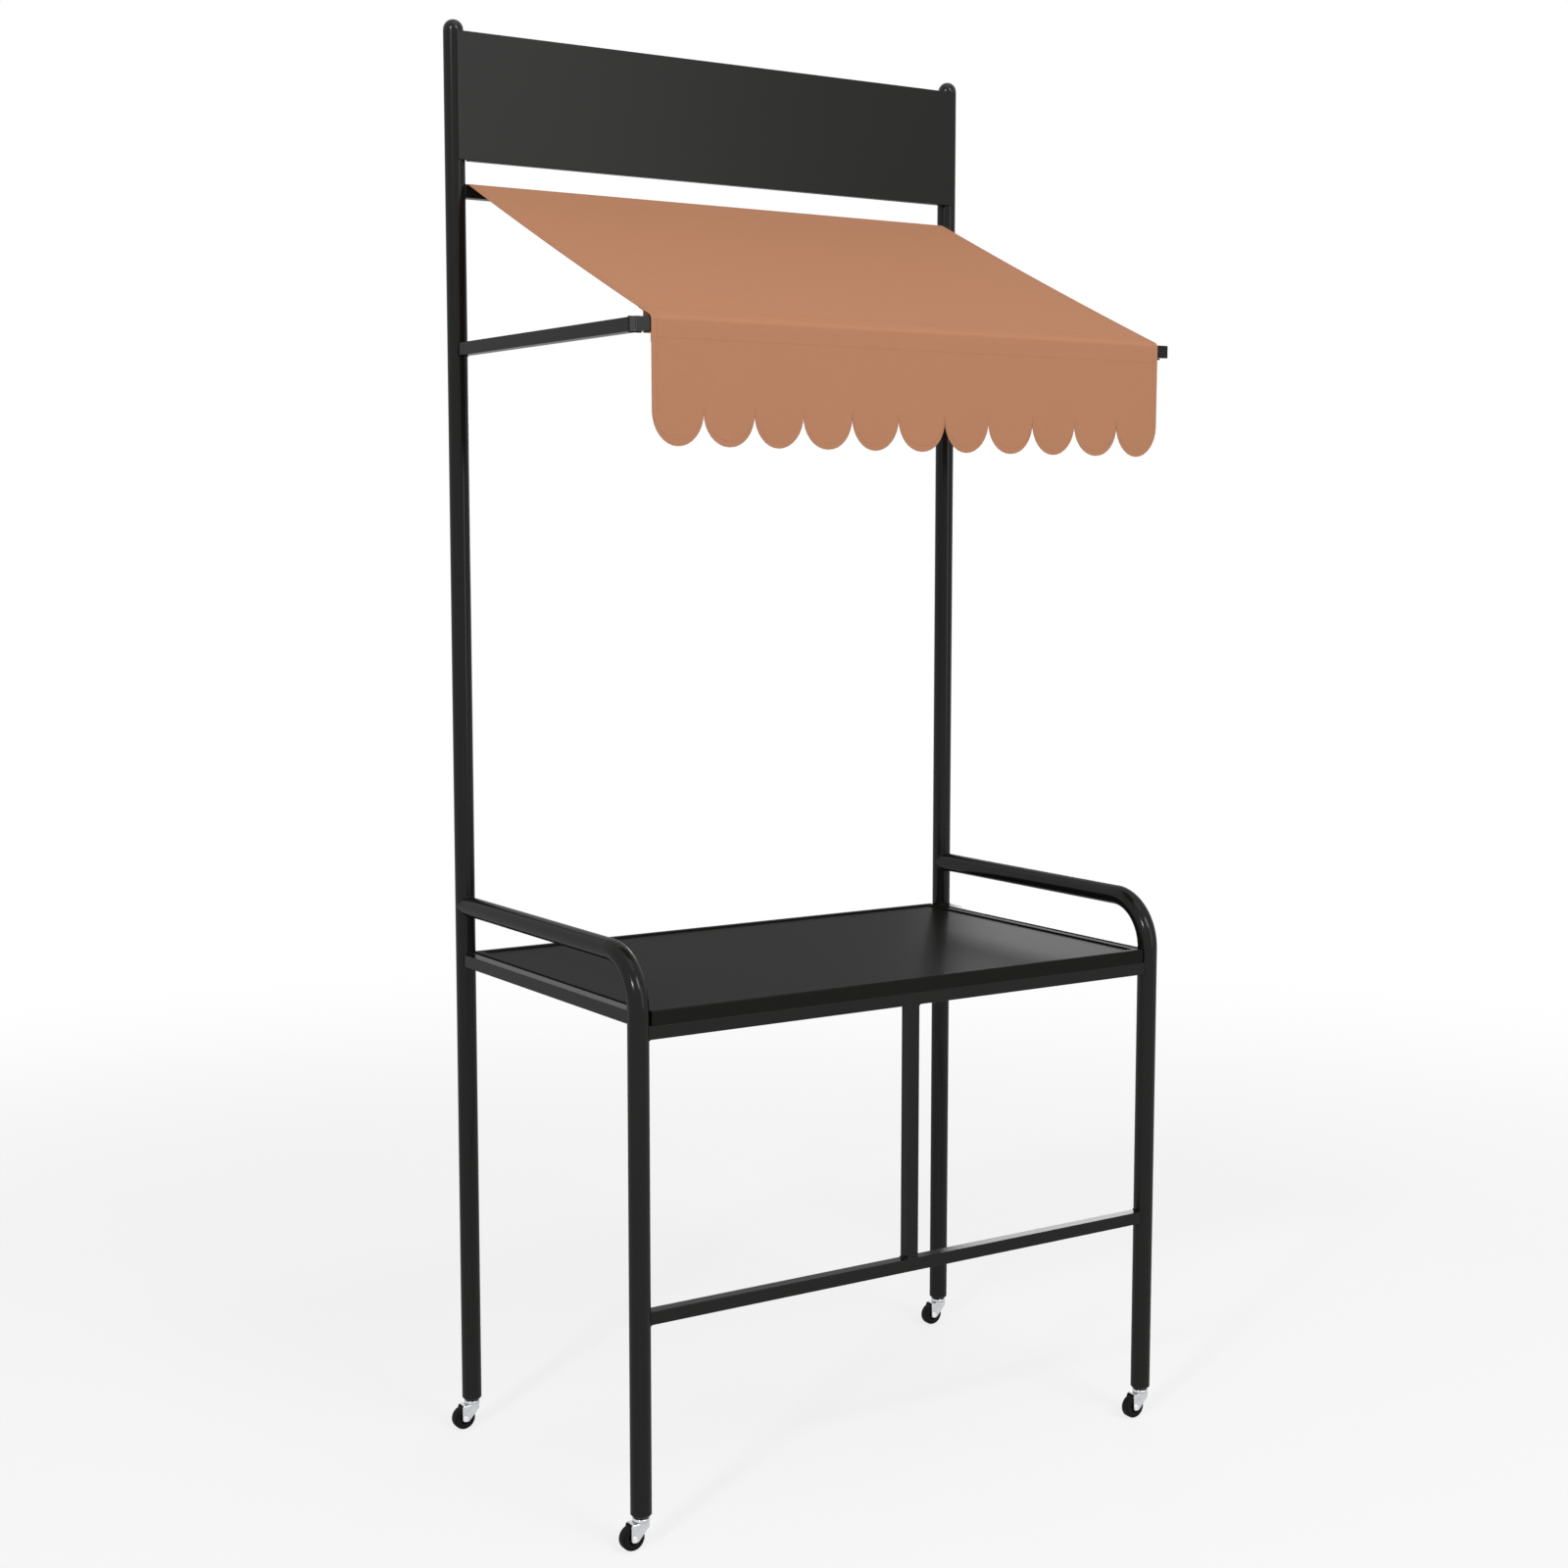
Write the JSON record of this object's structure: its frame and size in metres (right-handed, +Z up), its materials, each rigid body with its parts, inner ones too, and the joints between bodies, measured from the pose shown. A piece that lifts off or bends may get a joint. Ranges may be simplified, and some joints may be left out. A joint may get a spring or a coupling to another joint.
{
  "type": "mobile market stall",
  "caption": "Light market stall on swivel casters: black tube frame, sheet table with handrails, header panel and a sloping terracotta awning with a scalloped valance.",
  "frame": {"origin": "on the floor, midway between the axes of the four legs", "axes": "+Z up, +X to the right of a customer who faces the stall, +Y away from the customer (the scalloped valance is at the -Y side)"},
  "size_m": [1.019, 0.6034, 2.283],
  "materials": {
    "tube_powder_coat": "black satin powder coat on steel tube",
    "sheet_powder_coat": "black semi-gloss powder coat on steel sheet",
    "awning_cloth": "taut plain-woven terracotta cloth",
    "cap_plastic": "glossy black moulded plastic",
    "insert_plastic": "black moulded nylon",
    "zinc_steel": "bright zinc-plated pressed steel",
    "axle_steel": "bright plated rivet",
    "ball_steel": "polished ball steel",
    "hub_plastic": "black moulded nylon",
    "wheel_rubber": "black moulded tread, slightly scuffed"
  },
  "bodies": {
    "frame": {"left_rear_post": "tube_powder_coat", "right_rear_post": "tube_powder_coat", "left_front_leg": "tube_powder_coat", "right_front_leg": "tube_powder_coat", "left_table_rail": "tube_powder_coat", "right_table_rail": "tube_powder_coat", "front_table_rail": "tube_powder_coat", "rear_table_rail": "tube_powder_coat", "lower_stretcher": "tube_powder_coat", "centre_strut": "tube_powder_coat", "awning_top_rail": "tube_powder_coat", "awning_front_frame": "tube_powder_coat", "left_awning_arm": "tube_powder_coat", "right_awning_arm": "tube_powder_coat", "left_post_cap": "cap_plastic", "right_post_cap": "cap_plastic", "left_awning_plug": "cap_plastic", "right_awning_plug": "cap_plastic", "tabletop": "sheet_powder_coat", "header_panel": "sheet_powder_coat", "awning_canopy": "awning_cloth", "awning_valance": "awning_cloth", "front_left_insert": "insert_plastic", "front_left_stem": "zinc_steel", "front_left_race_cap": "zinc_steel", "front_right_insert": "insert_plastic", "front_right_stem": "zinc_steel", "front_right_race_cap": "zinc_steel", "rear_left_insert": "insert_plastic", "rear_left_stem": "zinc_steel", "rear_left_race_cap": "zinc_steel", "rear_right_insert": "insert_plastic", "rear_right_stem": "zinc_steel", "rear_right_race_cap": "zinc_steel"},
    "front_left_caster": {"front_left_fork": "zinc_steel", "front_left_balls": "ball_steel", "front_left_axle": "axle_steel"},
    "front_left_wheel": {"front_left_hub": "hub_plastic", "front_left_tyre": "wheel_rubber"},
    "front_right_caster": {"front_right_fork": "zinc_steel", "front_right_balls": "ball_steel", "front_right_axle": "axle_steel"},
    "front_right_wheel": {"front_right_hub": "hub_plastic", "front_right_tyre": "wheel_rubber"},
    "rear_left_caster": {"rear_left_fork": "zinc_steel", "rear_left_balls": "ball_steel", "rear_left_axle": "axle_steel"},
    "rear_left_wheel": {"rear_left_hub": "hub_plastic", "rear_left_tyre": "wheel_rubber"},
    "rear_right_caster": {"rear_right_fork": "zinc_steel", "rear_right_balls": "ball_steel", "rear_right_axle": "axle_steel"},
    "rear_right_wheel": {"rear_right_hub": "hub_plastic", "rear_right_tyre": "wheel_rubber"}
  },
  "joints": [
    {"name": "front_left_swivel", "type": "hinge", "parent": "frame", "child": "front_left_caster", "pos_m": [-0.484, -0.284, 0.041], "axis": [0, 0, 1], "continuous": true},
    {"name": "front_left_roll", "type": "hinge", "parent": "front_left_caster", "child": "front_left_wheel", "pos_m": [-0.5, -0.284, 0.019], "axis": [0, 1, 0], "continuous": true},
    {"name": "front_right_swivel", "type": "hinge", "parent": "frame", "child": "front_right_caster", "pos_m": [0.484, -0.284, 0.041], "axis": [0, 0, 1], "continuous": true},
    {"name": "front_right_roll", "type": "hinge", "parent": "front_right_caster", "child": "front_right_wheel", "pos_m": [0.468, -0.284, 0.019], "axis": [0, 1, 0], "continuous": true},
    {"name": "rear_left_swivel", "type": "hinge", "parent": "frame", "child": "rear_left_caster", "pos_m": [-0.484, 0.284, 0.041], "axis": [0, 0, 1], "continuous": true},
    {"name": "rear_left_roll", "type": "hinge", "parent": "rear_left_caster", "child": "rear_left_wheel", "pos_m": [-0.5, 0.284, 0.019], "axis": [0, 1, 0], "continuous": true},
    {"name": "rear_right_swivel", "type": "hinge", "parent": "frame", "child": "rear_right_caster", "pos_m": [0.484, 0.284, 0.041], "axis": [0, 0, 1], "continuous": true},
    {"name": "rear_right_roll", "type": "hinge", "parent": "rear_right_caster", "child": "rear_right_wheel", "pos_m": [0.468, 0.284, 0.019], "axis": [0, 1, 0], "continuous": true}
  ]
}
